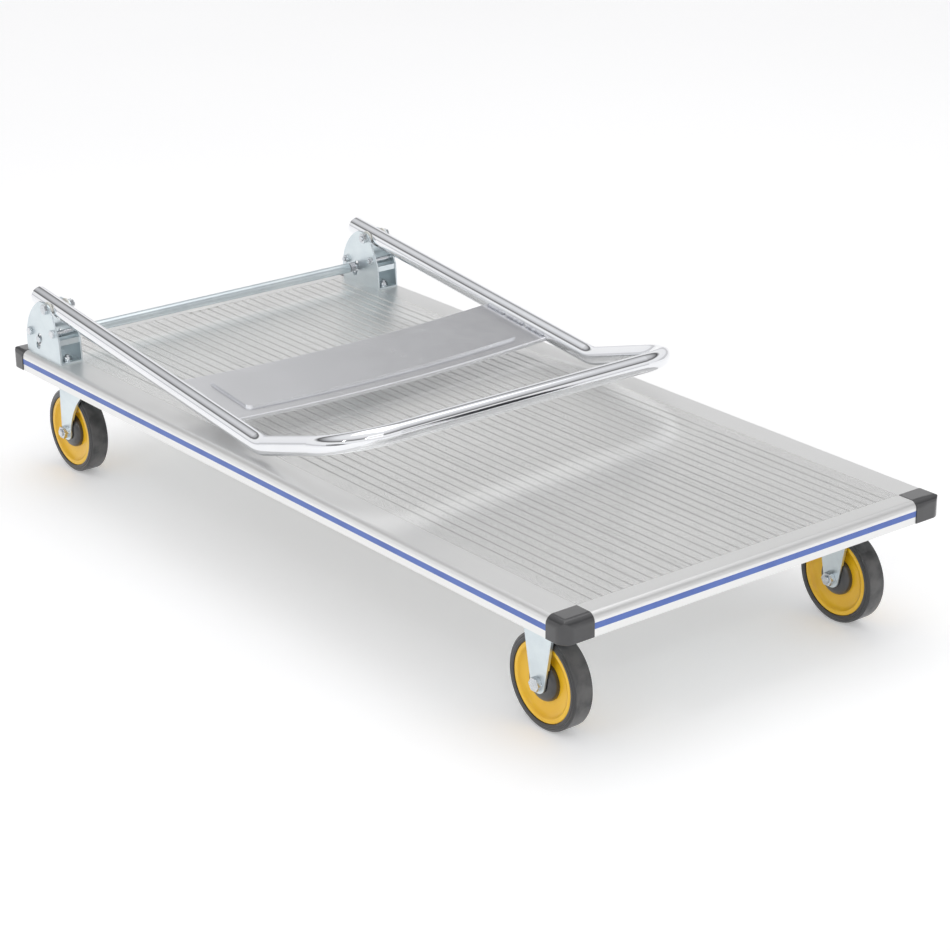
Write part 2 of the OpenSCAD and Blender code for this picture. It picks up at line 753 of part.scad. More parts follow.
// Every wheel is drawn about its own middle, with its axle along Y.
module at_wheel(e, s) translate([e == FRONT ? front_x : swivel_x - trail, s * caster_y, axle_z]) children();
module spun() rotate([90, 0, 0]) rotate_extrude($fn = 128) children();
module both_faces() { children(); mirror([0, 1]) children(); }
// A profile of [radius, distance from the middle], and the same one mirrored after it.
function whole(half) = concat(half, [for (i = [len(half) - 1:-1:0]) [half[i][0], -half[i][1]]]);

rim_radius = wheel_d / 2 - tyre_thick;
module tyre(e, s) {
    tread = wheel_d / 2;
    half = tyre_width / 2;
    color("dimgray") at_wheel(e, s) spun() polygon(whole([
        [rim_radius, half - 1], [rim_radius + 1, half], [tread - 4.6, half],
        [tread - 3.2, half - 0.6], [tread - 2.4, half - 2], [tread - 2.8, half - 3.4], [tread - 1.6, half - 4.2],
        [tread - 0.6, half - 5.4], [tread - 0.1, half - 7.5], [tread, half - 10]
    ]));
}
module tyre_front_left() tyre(FRONT, LEFT);
module tyre_front_right() tyre(FRONT, RIGHT);
module tyre_rear_left() tyre(REAR, LEFT);
module tyre_rear_right() tyre(REAR, RIGHT);

// Moulded wheel body: rim, dished web and hub.
hub_half = tyre_width / 2 - 2;
hub_wall = 4;
web_half = 8;
web_swell = 0.5;                           // the web thickens by this much towards the lip
lip = rim_radius - 4.5;
web_start = bearing_d / 2 + hub_wall;
function web_at(radius) = web_half + web_swell * (radius - web_start) / (lip - 8 - web_start);
module wheel(e, s) {
    color("gold") at_wheel(e, s) spun() polygon(whole([
        [bearing_d / 2, hub_half + 0.4], [web_start, hub_half + 0.4],
        [web_start, web_half], [lip - 8, web_half + web_swell], [lip - 4, web_half + 2.2],
        [lip - 1.6, web_half + 5], [lip, hub_half - 0.4], [lip + 1, hub_half + 0.4],
        [rim_radius - 1.2, hub_half + 0.4], [rim_radius, hub_half - 0.6]
    ]));
}
module wheel_front_left() wheel(FRONT, LEFT);
module wheel_front_right() wheel(FRONT, RIGHT);
module wheel_rear_left() wheel(REAR, LEFT);
module wheel_rear_right() wheel(REAR, RIGHT);

// Domed covers that close the hub on both faces and keep the bearings in.
module covers(e, s) {
    dome = fork_inner - 1.5;               // crown of a dome, from the middle of the wheel
    base = web_at(cover_d / 2) + 0.08;     // clear of the web, which thickens a little outwards
    bore = sleeve_d / 2 + 1;
    edge = cover_d / 2;
    inside = web_start + 0.1;
    color("dimgray") at_wheel(e, s) spun() both_faces() polygon([
        [inside, base], [edge, base], [edge, base + 3], [edge - 1, web_half + 6],
        [edge - 3.4, dome - 3.6], [edge - 7, dome - 1.4], [edge - 12, dome], [bore, dome],
        [bore, hub_half + 0.5], [inside, hub_half + 0.5]
    ]);
}
module covers_front_left() covers(FRONT, LEFT);
module covers_front_right() covers(FRONT, RIGHT);
module covers_rear_left() covers(REAR, LEFT);
module covers_rear_right() covers(REAR, RIGHT);

module bearings(e, s) {
    outer = hub_half + 0.4;
    color("silver") at_wheel(e, s) spun() both_faces()
        translate([sleeve_d / 2 + run_gap, outer - bearing_width])
            square([bearing_d / 2 - sleeve_d / 2 - run_gap - 0.05, bearing_width]);
}
module bearings_front_left() bearings(FRONT, LEFT);
module bearings_front_right() bearings(FRONT, RIGHT);
module bearings_rear_left() bearings(REAR, LEFT);
module bearings_rear_right() bearings(REAR, RIGHT);

// ---------------------------------------------------------------- forks

// Axle bolt, sleeve and nut about the wheel's middle. The head is at +Y.
module axle_set() {
    reach = fork_outer;
    difference() {
        rod_y(sleeve_d, 2 * fork_inner);
        rod_y(axle_d + 2 * hole_gap, 2 * fork_inner + 2 * cut);
    }
    translate([0, reach, 0]) rotate([90, 0, 0])
        bolt(axle_d, 2 * reach + nut_height(axle_d) + thread_end);
    translate([0, -reach, 0]) rotate([90, 0, 0]) hex(axle_d, nut_height(axle_d), axle_d + hole_gap);
}
module front_axles() {
    color("silver") for (s = [LEFT, RIGHT]) on_side(s) at_wheel(FRONT, LEFT) axle_set();
}
module rear_axle_left() color("silver") at_wheel(REAR, LEFT) axle_set();
module rear_axle_right() color("silver") at_wheel(REAR, RIGHT) axle_set();

// Right-hand tangent point from p = [x, y] on a circle of radius r about the origin.
function tangent_point(p, r) =
    let (turn = atan2(p[1], p[0]) - acos(r / norm(p))) [r * cos(turn), r * sin(turn)];

// Rigid fork leg about its axle: a round foot that widens in straight lines to the top.
module rigid_leg_outline(foot, half, top) {
    t = tangent_point([half, top], foot);
    circle(foot);
    polygon([t, [half, top], [-half, top], [-t[0], t[1]]]);
}

module fork_leg_pair() {
    for (s = [1, -1]) translate([0, s * (fork_inner + fork_sheet / 2), 0]) rotate([90, 0, 0])
        linear_extrude(fork_sheet, center = true) children();
}

module front_fork(s) {
    rise = plate_z - axle_z;
    lip_from = 26;                         // the lips start this far above the axle
    color("lightsteelblue") at_wheel(FRONT, s) {
        difference() {
            fork_leg_pair() rigid_leg_outline(fork_foot_radius, fork_top_half, rise);
            rod_y(axle_d + 2 * hole_gap, 4 * fork_outer);
        }
        for (side = [1, -1]) translate([0, side * (fork_inner - fork_lip / 2), 0]) rotate([90, 0, 0])
            linear_extrude(fork_lip + 0.02, center = true) intersection() {
                difference() {
                    rigid_leg_outline(fork_foot_radius, fork_top_half, rise);
                    rigid_leg_outline(fork_foot_radius - fork_sheet, fork_top_half - fork_sheet, rise + 1);
                }
                translate([-60, lip_from]) square([120, rise - lip_from]);
            }
        difference() {
            translate([-plate_length / 2, -plate_width / 2, rise])
                cube([plate_length, plate_width, caster_plate]);
            plate_bolt_holes(rise);
        }
    }
}
module plate_bolt_holes(z) {
    for (dx = [-1, 1], dy = [-1, 1])
        translate([dx * bolt_spacing_x / 2, dy * bolt_spacing_y / 2, z - cut])
            cylinder(d = caster_bolt_d + 2 * hole_gap, h = caster_plate + 2 * cut);
}
module front_fork_left() front_fork(LEFT);
module front_fork_right() front_fork(RIGHT);

// Swivel parts are drawn about the swivel's axis, with z = 0 on the floor.
module at_swivel(s) translate([swivel_x, s * caster_y, 0]) children();

// Ring groove for the balls, in a face at height z.
module ball_groove() {
    middle = yoke_top + race_space / 2;
    translate([0, 0, middle]) rotate_extrude($fn = 128) translate([ball_track, 0])
        circle(d = ball_d + 4 * run_gap);
}

module swivel_plate(s) {
    color("lightsteelblue") at_swivel(s) difference() {
        union() {
            translate([-plate_length / 2, -plate_width / 2, plate_z])
                cube([plate_length, plate_width, caster_plate]);
            translate([0, 0, plate_z - race_height]) cylinder(r = ball_track + 8, h = race_height + 0.01);
        }
        plate_bolt_holes(plate_z);
        ball_groove();
        translate([0, 0, plate_z - race_height - cut])
            cylinder(d = axle_d + 2 * hole_gap, h = race_height + caster_plate + 2 * cut);
    }
}
module swivel_plate_left() swivel_plate(LEFT);
module swivel_plate_right() swivel_plate(RIGHT);

module swivel_balls() {
    color("silver") for (s = [LEFT, RIGHT], i = [0:ball_count - 1])
        at_swivel(s) rotate([0, 0, i * 360 / ball_count])
            translate([ball_track, 0, yoke_top + race_space / 2]) sphere(d = ball_d, $fn = 32);
}

// Riveted into the plate, with a nut under the yoke.
module kingpins() {
    nut = nut_height(axle_d);
    low = yoke_top - yoke_thick - 0.4;
    color("silver") for (s = [LEFT, RIGHT]) at_swivel(s) {
        translate([0, 0, low - nut - thread_end]) cylinder(d = axle_d, h = caster_height - low + nut + thread_end);
        translate([0, 0, low - nut]) hex(axle_d, nut);
    }
}

// Swivel fork leg about the swivel's axis, z from the floor: upright rear edge, front
// edge curved forwards to the swivel head.
module swivel_leg_outline(shrink) {
    foot = fork_foot_radius - shrink;
    back = -trail - foot;
    front_low = [-trail + foot - 0.6, axle_z + 5];
    front_high = [fork_nose - shrink, yoke_top - 8];
    chord = front_high - front_low;
    middle = (front_low + front_high) / 2;
    sag = sqrt(fork_curve * fork_curve - norm(chord) * norm(chord) / 4);
    centre = middle + sag * [chord[1], -chord[0]] / norm(chord);
    translate([-trail, axle_z]) circle(foot);
    difference() {
        polygon([[back, axle_z], [back, yoke_top - 22], [back + 5, yoke_top], [fork_nose - shrink, yoke_top],
                 front_high, [front_low[0] + 60, front_low[1]], front_low, [-trail + foot, axle_z]]);
        translate(centre) circle(fork_curve, $fn = 256);
    }
}

module rear_fork(s) {
    lip_low = axle_z + 26;
    color("lightsteelblue") at_swivel(s) {
        difference() {
            union() {
                fork_leg_pair() swivel_leg_outline(0);
                translate([0, 0, yoke_top - yoke_thick]) linear_extrude(yoke_thick) {
                    circle(swivel_radius);
                    translate([-trail - fork_foot_radius + 5, -fork_outer])
                        square([trail + fork_foot_radius - 5 + fork_nose, 2 * fork_outer]);
                }
            }
            translate([-trail, 0, axle_z]) rod_y(axle_d + 2 * hole_gap, 4 * fork_outer);
            translate([0, 0, yoke_top - yoke_thick - cut]) cylinder(d = axle_d + 2 * run_gap, h = yoke_thick + 2 * cut);
            ball_groove();
        }
        for (side = [1, -1]) translate([0, side * (fork_inner - fork_lip / 2), 0]) rotate([90, 0, 0])
            linear_extrude(fork_lip + 0.02, center = true) intersection() {
                difference() {
                    swivel_leg_outline(0);
                    swivel_leg_outline(fork_sheet);
                }
                translate([-100, lip_low]) square([200, yoke_top - yoke_thick - lip_low]);
            }
    }
}
module rear_fork_left() rear_fork(LEFT);
module rear_fork_right() rear_fork(RIGHT);

// ---------------------------------------------------------------- nodes

deck_plank_left();
deck_plank_middle();
deck_plank_right();
side_rail_left();
side_rail_right();
end_rail_front();
end_rail_rear();
side_strips();
end_strips();
corner_cap_front_left();
corner_cap_front_right();
corner_cap_rear_left();
corner_cap_rear_right();
cross_plate_front();
cross_plate_rear();
frame_screws();
caster_bolts();
caster_nuts();
hinge_bracket_left();
hinge_bracket_right();
bracket_bolts();
bracket_nuts();
pivot_bolts();
pivot_nuts();
stop_bolts();
handle_tube();
handle_panel();
pivot_bushes();
release_bar();
release_pins();
return_springs();
front_fork_left();
front_fork_right();
front_axles();
swivel_plate_left();
swivel_plate_right();
swivel_balls();
kingpins();
rear_fork_left();
rear_fork_right();
rear_axle_left();
rear_axle_right();
tyre_front_left();
tyre_front_right();
tyre_rear_left();
tyre_rear_right();
wheel_front_left();
wheel_front_right();
wheel_rear_left();
wheel_rear_right();
covers_front_left();
covers_front_right();
covers_rear_left();
covers_rear_right();
bearings_front_left();
bearings_front_right();
bearings_rear_left();
bearings_rear_right();
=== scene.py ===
# %% [markdown]
# # Folding platform cart
#
# The cart is already built as exact solids, and this script loads them as a fixed frame.
# Blender's work here is what the solids lack: softened edges, pressed sheet, wound springs,
# weld beads, and finishes that tell aluminium, zinc, chrome, rubber and plastic apart.
# Everything is in metres. The origin is on the floor under the middle of the deck,
# +X points away from the handle end, +Y to the left, and +Z up.

# %% Load the frame
import json
from math import cos, pi, radians, sin, sqrt

import bmesh
import bpy
from mathutils import Matrix, Vector

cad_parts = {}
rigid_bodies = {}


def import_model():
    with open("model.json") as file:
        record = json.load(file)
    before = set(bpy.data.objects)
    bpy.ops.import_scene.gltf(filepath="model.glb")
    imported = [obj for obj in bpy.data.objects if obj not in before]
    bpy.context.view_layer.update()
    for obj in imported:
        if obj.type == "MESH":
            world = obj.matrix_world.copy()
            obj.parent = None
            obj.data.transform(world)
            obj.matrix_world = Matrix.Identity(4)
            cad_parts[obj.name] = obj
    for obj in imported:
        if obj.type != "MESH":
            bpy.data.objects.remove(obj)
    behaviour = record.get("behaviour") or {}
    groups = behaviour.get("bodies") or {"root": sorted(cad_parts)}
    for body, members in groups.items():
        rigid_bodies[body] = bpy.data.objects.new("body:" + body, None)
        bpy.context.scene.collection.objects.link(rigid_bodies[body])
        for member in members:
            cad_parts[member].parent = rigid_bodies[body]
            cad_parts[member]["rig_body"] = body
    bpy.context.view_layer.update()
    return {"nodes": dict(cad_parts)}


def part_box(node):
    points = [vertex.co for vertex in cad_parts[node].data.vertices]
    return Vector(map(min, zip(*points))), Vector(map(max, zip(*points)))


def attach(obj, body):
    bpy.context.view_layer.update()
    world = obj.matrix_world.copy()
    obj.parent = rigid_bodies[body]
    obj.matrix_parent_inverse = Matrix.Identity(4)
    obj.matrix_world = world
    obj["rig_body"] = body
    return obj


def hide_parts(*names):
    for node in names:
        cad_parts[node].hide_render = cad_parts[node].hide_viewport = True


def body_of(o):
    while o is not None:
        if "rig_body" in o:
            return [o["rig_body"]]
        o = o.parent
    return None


for leftover in list(bpy.data.objects):
    bpy.data.objects.remove(leftover)
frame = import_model()

# %% [markdown]
# ## Camera
#
# A long lens from a few metres away keeps the deck's long edges nearly parallel, as in a
# catalogue view. The camera is set by its position and two angles: the direction that it
# faces round the cart, and how far it looks down. A rotation matrix made from the three
# view axes says this more plainly than three Euler angles.

# %% Camera
CAMERA_PLACE = Vector((3.2644, -2.5082, 1.7460))
FACING, LOOKING_DOWN, ROLL = radians(51.4), radians(21.6), radians(-0.2)
FOCAL_LENGTH, SENSOR_WIDTH = 101.27, 36
SHIFT_X, SHIFT_Y = -0.0141, 0.0018
FAR_LIMIT = 60

forward = Vector((-sin(FACING) * cos(LOOKING_DOWN),
                  cos(FACING) * cos(LOOKING_DOWN),
                  -sin(LOOKING_DOWN)))
level = Vector((cos(FACING), sin(FACING), 0))
upward = level.cross(forward)
view_x = cos(ROLL) * level + sin(ROLL) * upward
view_y = cos(ROLL) * upward - sin(ROLL) * level
turn = Matrix((view_x, view_y, -forward)).transposed().to_4x4()

lens = bpy.data.cameras.new("camera")
lens.lens, lens.sensor_width = FOCAL_LENGTH, SENSOR_WIDTH
lens.shift_x, lens.shift_y = SHIFT_X, SHIFT_Y
lens.clip_end = FAR_LIMIT
camera = bpy.data.objects.new("camera", lens)
camera.matrix_world = Matrix.Translation(CAMERA_PLACE) @ turn
bpy.context.scene.collection.objects.link(camera)
bpy.context.scene.camera = camera
print("camera at", tuple(CAMERA_PLACE))

# %% [markdown]
# ## Light and floor
#
# Chrome and bright aluminium show their surroundings more than their own colour. A pale
# world with one large soft lamp overhead gives even light, and a few dark cards at the
# sides, which the camera doesn't see, draw the thin dark lines that make a tube read as
# polished. The cards are part of the studio, as the floor is. The world itself is a white
# tent with a dark seam about a third of the way up, which long tubes stretch into a fine
# line. Two small lamps leave the sharp highlights on glossy plastic.

# %% Helpers for objects
def link_object(name, mesh):
    """Puts a finished mesh in the scene, at the origin."""
    piece = bpy.data.objects.new(name, mesh)
    bpy.context.scene.collection.objects.link(piece)
    return piece


def mesh_object(name, shape):
    """Turns a bmesh into an object, with its normals outwards."""
    bmesh.ops.recalc_face_normals(shape, faces=shape.faces[:])
    mesh = bpy.data.meshes.new(name)
    shape.to_mesh(mesh)
    shape.free()
    return link_object(name, mesh)


def shade(piece, material, angle=40):
    """Smooth shading, weighed by face area so that flat faces stay flat, and the material."""
    mesh = piece.data
    mesh.polygons.foreach_set("use_smooth", [True] * len(mesh.polygons))
    mesh.set_sharp_from_angle(angle=radians(angle))
    weigh = piece.modifiers.new("flat faces lead", "WEIGHTED_NORMAL")
    weigh.keep_sharp, weigh.weight = True, 100
    evaluated = piece.evaluated_get(bpy.context.evaluated_depsgraph_get())
    flattened = bpy.data.meshes.new_from_object(evaluated)
    piece.modifiers.clear()
    piece.data, name = flattened, mesh.name
    bpy.data.meshes.remove(mesh)
    flattened.name = name
    flattened.materials.clear()
    flattened.materials.append(material)


def soft_lamp(name, place, size, watts, aim=(0, 0, 0.1)):
    """A square area lamp that points at the cart."""
    light = bpy.data.lights.new(name, "AREA")
    light.size, light.energy = size, watts
    lamp = bpy.data.objects.new(name, light)
    lamp.location = place
    lamp.rotation_euler = (Vector(aim) - Vector(place)).to_track_quat("-Z", "Y").to_euler()
    bpy.context.scene.collection.objects.link(lamp)
    return lamp


# %% World, lamps, floor and cards
WORLD_STRENGTH, FLOOR_SIZE = 0.94, 30
# Each pair is a height, as the sine of the angle above the level, and a brightness.
TENT = ((0.08, 0.66), (0.18, 0.96), (0.43, 1.00), (0.49, 0.40), (0.52, 0.06), (0.56, 0.22),
        (0.66, 0.55), (0.80, 0.90))
TENT_FOOT, TENT_TOP = (0.78, 0.78, 0.80, 1), (1, 1, 1, 1)
# Each card is a place and its width and height. All of them face the middle of the cart.
CARDS = [((0.9, -3.6, 0.75), (3.2, 0.35)), ((3.8, 2.6, 0.6), (0.4, 2.6))]
CART_MIDDLE = Vector((0, 0, 0.3))

bpy.context.scene.view_settings.view_transform = "Standard"
world = bpy.data.worlds.new("studio")
bpy.context.scene.world = world
world.use_nodes = True
sky = world.node_tree
sky_light = sky.nodes["Background"]
sky_light.inputs["Strength"].default_value = WORLD_STRENGTH
direction = sky.nodes.new("ShaderNodeTexCoord")
height = sky.nodes.new("ShaderNodeSeparateXYZ")
ramp = sky.nodes.new("ShaderNodeValToRGB")
ramp.color_ramp.elements[0].color = TENT_FOOT
ramp.color_ramp.elements[1].color = TENT_TOP
for rise, bright in TENT:
    ramp.color_ramp.elements.new(rise).color = (bright, bright, min(1, bright * 1.02), 1)
sky.links.new(direction.outputs["Generated"], height.inputs[0])
sky.links.new(height.outputs["Z"], ramp.inputs[0])
sky.links.new(ramp.outputs[0], sky_light.inputs["Color"])

soft_lamp("overhead", (-0.4, 0.6, 3.8), 3.0, 22)
soft_lamp("front", (4.2, -1.2, 3.4), 2.4, 12)
soft_lamp("spark_right", (3.9, -2.6, 3.1), 0.24, 12)
soft_lamp("spark_left", (1.0, -4.2, 3.0), 0.24, 12)

plane = bmesh.new()
bmesh.ops.create_grid(plane, x_segments=1, y_segments=1, size=FLOOR_SIZE)
floor = mesh_object("floor", plane)

cards = []
for number, (place, (wide, tall)) in enumerate(CARDS):
    board = bmesh.new()
    bmesh.ops.create_grid(board, x_segments=1, y_segments=1, size=0.5)
    facing = (CART_MIDDLE - Vector(place)).to_track_quat("Z", "Y").to_matrix().to_4x4()
    shape = facing @ Matrix.Diagonal((wide, tall, 1, 1))
    bmesh.ops.transform(board, matrix=Matrix.Translation(place) @ shape, verts=board.verts)
    card = mesh_object(f"card_{number + 1}", board)
    card.visible_camera = card.visible_shadow = card.visible_diffuse = False
    cards.append(card)
print("stage:", floor.name, [card.name for card in cards])

# %% [markdown]
# ## Node groups
#
# Nearly every real surface varies a little from place to place. Four small groups hold the
# effects that several finishes share, so each is built once and given its own values:
# a patchy tone, straight lines left by an extrusion die, a fine moulded grain, and the
# pale dust that settles on faces that look up. They put out only colours, roughness
# values and heights. The shader itself stays in each material.

# %% Helpers for node trees
def new_group(name, inputs, outputs):
    """An empty group with the named sockets: inputs are (name, kind, value)."""
    tree = bpy.data.node_groups.new(name, "ShaderNodeTree")
    for label, kind, value in inputs:
        socket = tree.interface.new_socket(label, in_out="INPUT", socket_type="NodeSocket" + kind)
        if value is not None:
            socket.default_value = value
    for label, kind in outputs:
        tree.interface.new_socket(label, in_out="OUTPUT", socket_type="NodeSocket" + kind)
    return tree, tree.nodes.new("NodeGroupInput").outputs, tree.nodes.new("NodeGroupOutput").inputs


def add_node(tree, kind, sockets=(), **settings):
    """A node with its settings, and its sockets filled by number or name: a value or a link."""
    node = tree.nodes.new("ShaderNode" + kind)
    for key, value in settings.items():
        setattr(node, key, value)
    for key, value in dict(sockets).items():
        if isinstance(value, bpy.types.NodeSocket):
            tree.links.new(value, node.inputs[key])
        else:
            node.inputs[key].default_value = value
    return node


def calc(tree, operation, *values):
    """One Math node."""
    return add_node(tree, "Math", enumerate(values), operation=operation).outputs[0]


def noise(tree, vector, scale, detail=3.0):
    sockets = {"Vector": vector, "Scale": scale, "Detail": detail}
    return add_node(tree, "TexNoise", sockets).outputs["Fac"]


def stretched(tree, vector, x, y, z):
    """The same coordinates, drawn out or squeezed along each axis."""
    return add_node(tree, "VectorMath", {0: vector, 1: (x, y, z)}, operation="MULTIPLY").outputs[0]


def between(tree, value, low, high):
    """0 below low, 1 above high, and smooth between them."""
    sockets = {"Value": value, "From Min": low, "From Max": high}
    return add_node(tree, "MapRange", sockets, interpolation_type="SMOOTHSTEP").outputs[0]


def mix_colour(tree, factor, first, second):
    node = add_node(tree, "Mix", {"Factor": factor}, data_type="RGBA")
    for socket, value in ((node.inputs[6], first), (node.inputs[7], second)):
        if isinstance(value, bpy.types.NodeSocket):
            tree.links.new(value, socket)
        else:
            socket.default_value = value
    return node.outputs[2]


# %% Group: patchy tone
patchy, given, result = new_group(
    "patchy_tone",
    [("Vector", "Vector", None), ("Light", "Color", (1, 1, 1, 1)), ("Dark", "Color", (0, 0, 0, 1)),
     ("Scale", "Float", 10), ("Roughness", "Float", 0.4), ("Spread", "Float", 0.1)],
    [("Color", "Color"), ("Roughness", "Float")])
broad = between(patchy, noise(patchy, given["Vector"], given["Scale"], 4), 0.3, 0.7)
close = noise(patchy, given["Vector"], calc(patchy, "MULTIPLY", given["Scale"], 7.3), 3)
patchy.links.new(mix_colour(patchy, broad, given["Light"], given["Dark"]), result["Color"])
swing = calc(patchy, "MULTIPLY", calc(patchy, "SUBTRACT", close, 0.5), given["Spread"])
patchy.links.new(calc(patchy, "ADD", given["Roughness"], swing), result["Roughness"])
print("group:", patchy.name)

# %% Group: lines left by an extrusion die, which run along X
die_lines, given, result = new_group(
    "die_lines", [("Vector", "Vector", None), ("Pitch", "Float", 0.0012)], [("Height", "Float")])
across = add_node(die_lines, "SeparateXYZ", {0: given["Vector"]})
around = calc(die_lines, "ADD", across.outputs["Y"], across.outputs["Z"])
phase = calc(die_lines, "DIVIDE", calc(die_lines, "MULTIPLY", around, 2 * pi), given["Pitch"])
drawn = noise(die_lines, stretched(die_lines, given["Vector"], 0.3, 900, 900), 1, 1)
faint = calc(die_lines, "MULTIPLY", drawn, 0.35)
die_lines.links.new(calc(die_lines, "ADD", calc(die_lines, "SINE", phase), faint), result["Height"])
print("group:", die_lines.name)

# %% Group: moulded grain
grain, given, result = new_group(
    "moulded_grain", [("Vector", "Vector", None), ("Scale", "Float", 900)], [("Height", "Float")])
fine = noise(grain, given["Vector"], given["Scale"], 2)
coarse = noise(grain, given["Vector"], calc(grain, "MULTIPLY", given["Scale"], 0.12), 2)
grain.links.new(calc(grain, "ADD", fine, coarse), result["Height"])
print("group:", grain.name)

# %% Group: dust on faces that look up
dust, given, result = new_group(
    "settled_dust",
    [("Vector", "Vector", None), ("Color", "Color", (1, 1, 1, 1)), ("Roughness", "Float", 0.4),
     ("Amount", "Float", 0.2)],
    [("Color", "Color"), ("Roughness", "Float")])
facing_up = add_node(dust, "SeparateXYZ", {0: add_node(dust, "NewGeometry").outputs["Normal"]})
upper = between(dust, facing_up.outputs["Z"], 0.4, 0.95)
patches = between(dust, noise(dust, given["Vector"], 14, 5), 0.35, 0.75)
film = calc(dust, "MULTIPLY", calc(dust, "MULTIPLY", upper, patches), given["Amount"])
dust.links.new(mix_colour(dust, film, given["Color"], (0.52, 0.50, 0.46, 1)), result["Color"])
dust.links.new(calc(dust, "ADD", given["Roughness"], calc(dust, "MULTIPLY", film, 0.5)), result["Roughness"])
print("group:", dust.name)

# %% [markdown]
# ## Finishes
#
# Each finish is a short recipe: a light and a dark tone, a roughness and how far it
# wanders, and then what is special about it. Metals have no colour of their own beyond
# the tint of their reflection, so their base colour is high and their character comes
# from roughness and bump. Plastics and rubber get a darker base and a moulded grain.

# %% A finish and its shared parts
finishes = {}


def start_finish(name, light, dark, scale, roughness, spread, metal=0.0, dusty=0.0):
    """A material whose colour and roughness wander, ready for its bump."""
    material = bpy.data.materials.new(name)
    material.use_nodes = True
    tree = material.node_tree
    shader = tree.nodes["Principled BSDF"]
    shader.inputs["Metallic"].default_value = metal
    place = add_node(tree, "TexCoord").outputs["Object"]
    tone = add_node(tree, "Group", node_tree=patchy)
    tree.links.new(place, tone.inputs["Vector"])
    for socket, value in (("Light", (*light, 1)), ("Dark", (*dark, 1)), ("Scale", scale),
                          ("Roughness", roughness), ("Spread", spread)):
        tone.inputs[socket].default_value = value
    last = tone
    if dusty:
        last = add_node(tree, "Group", node_tree=dust)
        last.inputs["Amount"].default_value = dusty
        tree.links.new(place, last.inputs["Vector"])
        for socket in ("Color", "Roughness"):
            tree.links.new(tone.outputs[socket], last.inputs[socket])
    tree.links.new(last.outputs["Color"], shader.inputs["Base Color"])
    tree.links.new(last.outputs["Roughness"], shader.inputs["Roughness"])
    finishes[name] = material
    return tree, shader, place


def add_bump(tree, shader, height, distance, strength=1.0):
    """Bump on top of whatever bump the shader already has."""
    bump = add_node(tree, "Bump", {"Height": height, "Distance": distance, "Strength": strength})
    before = shader.inputs["Normal"].links
    if before:
        tree.links.new(before[0].from_socket, bump.inputs["Normal"])
    tree.links.new(bump.outputs[0], shader.inputs["Normal"])


def grouped(tree, group, place, **values):
    """One of the groups above, placed in a material."""
    node = add_node(tree, "Group", node_tree=group)
    tree.links.new(place, node.inputs["Vector"])
    for label, value in values.items():
        node.inputs[label].default_value = value
    return node.outputs[0]


def recolour(tree, shader, factor, colour):
    """Mixes a second colour over the base colour, by a mask."""
    base = shader.inputs["Base Color"].links[0].from_socket
    tree.links.new(mix_colour(tree, factor, base, (*colour, 1)), shader.inputs["Base Color"])


# %% [markdown]
# ### Aluminium
#
# The planks and rails are extruded and left satin. A die leaves dead straight lines along
# the length, and the tops of the ribs carry a finer serration for grip. Handling dulls
# the metal in soft patches. The floors of the grooves are painted darker than the land
# beside them: painted shade, standing in for the shade that falls down in the grooves.
# Height above the floor says which is which.

# %% Deck and rail aluminium
DECK_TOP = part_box("deck_plank_middle")[1].z

tree, shader, place = start_finish("deck_aluminium", (0.90, 0.90, 0.885), (0.87, 0.87, 0.855), 4, 0.20, 0.03,
                                   metal=0.92, dusty=0.05)
above = add_node(tree, "SeparateXYZ", {0: place}).outputs["Z"]
# Painted shade: the floors of the grooves are mixed towards a darker grey, standing in for the shade that
# falls down in them.
painted_groove_shade = calc(tree, "SUBTRACT", 1, between(tree, above, DECK_TOP - 0.0010, DECK_TOP - 0.0003))
recolour(tree, shader, calc(tree, "MULTIPLY", painted_groove_shade, 0.22), (0.55, 0.55, 0.54))
add_bump(tree, shader, grouped(tree, die_lines, place, Pitch=0.0013), 0.00006, 0.7)

tree, shader, place = start_finish("rail_aluminium", (0.87, 0.87, 0.86), (0.85, 0.85, 0.84), 3, 0.36, 0.03,
                                   metal=0.93, dusty=0.03)
add_bump(tree, shader, grouped(tree, die_lines, place, Pitch=0.004), 0.000004, 0.3)
print("aluminium over", round(DECK_TOP, 4))

# %% [markdown]
# ### Plated and polished steel
#
# Zinc plating is pale, slightly blue and a little uneven, with a faint crystal pattern
# that a Voronoi texture gives. Chrome is almost a mirror: its roughness is near zero and
# its life comes from what stands round it. The pressed panel was polished before plating,
# so it keeps soft waves and fine lines across the cart.

# %% Zinc, fasteners, chrome and spring steel
def crystals(tree, place, scale):
    """Pale and dark plates of random tone."""
    cells = add_node(tree, "TexVoronoi", {"Vector": place, "Scale": scale})
    return add_node(tree, "RGBToBW", {0: cells.outputs["Color"]}).outputs[0]


tree, shader, place = start_finish("zinc_steel", (0.74, 0.81, 0.83), (0.66, 0.73, 0.76), 22, 0.33, 0.12,
                                   metal=1, dusty=0.05)
recolour(tree, shader, calc(tree, "MULTIPLY", crystals(tree, place, 260), 0.16), (0.82, 0.86, 0.90))
add_bump(tree, shader, noise(tree, place, 420, 2), 0.00005, 0.30)

tree, shader, place = start_finish("fastener_steel", (0.74, 0.76, 0.78), (0.60, 0.63, 0.66), 60, 0.26, 0.16,
                                   metal=1)
add_bump(tree, shader, noise(tree, place, 900, 2), 0.00006, 0.4)

tree, shader, place = start_finish("handle_chrome", (0.90, 0.91, 0.93), (0.86, 0.87, 0.89), 9, 0.06, 0.03,
                                   metal=1)
add_bump(tree, shader, noise(tree, place, 30, 2), 0.0002, 0.25)

tree, shader, place = start_finish("panel_chrome", (0.88, 0.885, 0.91), (0.84, 0.845, 0.865), 7, 0.26, 0.06,
                                   metal=1)
add_bump(tree, shader, noise(tree, stretched(tree, place, 900, 6, 900), 1, 2), 0.00003, 0.35)
add_bump(tree, shader, noise(tree, place, 11, 2), 0.0004, 0.3)

